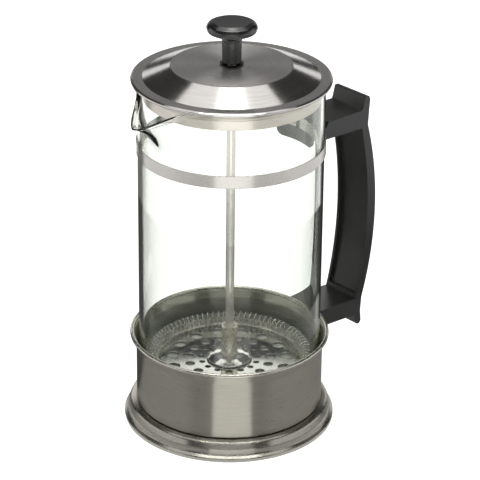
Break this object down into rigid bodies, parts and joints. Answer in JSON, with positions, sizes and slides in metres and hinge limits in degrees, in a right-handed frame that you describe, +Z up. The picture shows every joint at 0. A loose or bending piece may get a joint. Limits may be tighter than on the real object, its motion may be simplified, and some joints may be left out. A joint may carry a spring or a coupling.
{
  "type": "french press",
  "caption": "Glass french press coffee maker in a steel base cup, with a black bow handle, a domed steel lid and a spring-edged filter plunger.",
  "frame": {"origin": "centre of the underside, on the surface that the press stands on", "axes": "+Z up along the beaker's and plunger's axis, +X towards the handle, -X towards the pouring spout"},
  "size_m": [0.1624, 0.1134, 0.226],
  "materials": {
    "base_rubber": "matt moulded rubber",
    "foot_steel": "spun and brushed steel",
    "cup_steel": "horizontally brushed steel",
    "cushion_silicone": "soft silicone",
    "glass": "clear borosilicate glass with faintly green edges",
    "band_steel": "horizontally brushed strip",
    "screw_steel": "zinc-bright fastener steel",
    "handle_plastic": "satin black moulding with a fine grain",
    "bracket_steel": "plain pressed steel",
    "lid_steel": "circularly brushed steel",
    "skirt_steel": "brushed steel strip",
    "bushing_black": "glossy black moulding",
    "clip_steel": "spring steel",
    "knob_plastic": "satin black moulding",
    "insert_brass": "turned brass",
    "rod_steel": "polished steel",
    "plate_steel": "polished pressed steel",
    "spring_steel": "bright spring wire",
    "screen_steel": "fine woven steel mesh"
  },
  "bodies": {
    "carafe": {"base_pad": "base_rubber", "foot_ring": "foot_steel", "base_cup": "cup_steel", "glass_cushion": "cushion_silicone", "beaker": "glass", "clamp_band": "band_steel", "clamp_screw": "screw_steel", "clamp_nut": "screw_steel", "handle": "handle_plastic", "handle_bracket": "bracket_steel", "bracket_screw": "screw_steel"},
    "lid": {"lid_dome": "lid_steel", "lid_skirt": "skirt_steel"},
    "bushing": {"rod_bushing": "bushing_black", "bushing_clip": "clip_steel"},
    "plunger": {"knob": "knob_plastic", "knob_insert": "insert_brass", "plunger_rod": "rod_steel", "rod_sleeve": "rod_steel", "hub_washer": "plate_steel", "spiral_plate": "plate_steel", "coil_spring": "spring_steel", "mesh_screen": "screen_steel", "cross_plate": "plate_steel", "hub_nut": "rod_steel"}
  },
  "joints": [
    {"name": "lid_lift", "type": "slide", "parent": "carafe", "child": "lid", "axis": [0, 0, 1], "range_m": [0, 0.2]},
    {"name": "plunger_turn", "type": "hinge", "parent": "lid", "child": "bushing", "pos_m": [0, 0, 0.2], "axis": [0, 0, 1], "continuous": true},
    {"name": "plunger_slide", "type": "slide", "parent": "bushing", "child": "plunger", "axis": [0, 0, 1], "range_m": [0, 0.14]}
  ]
}
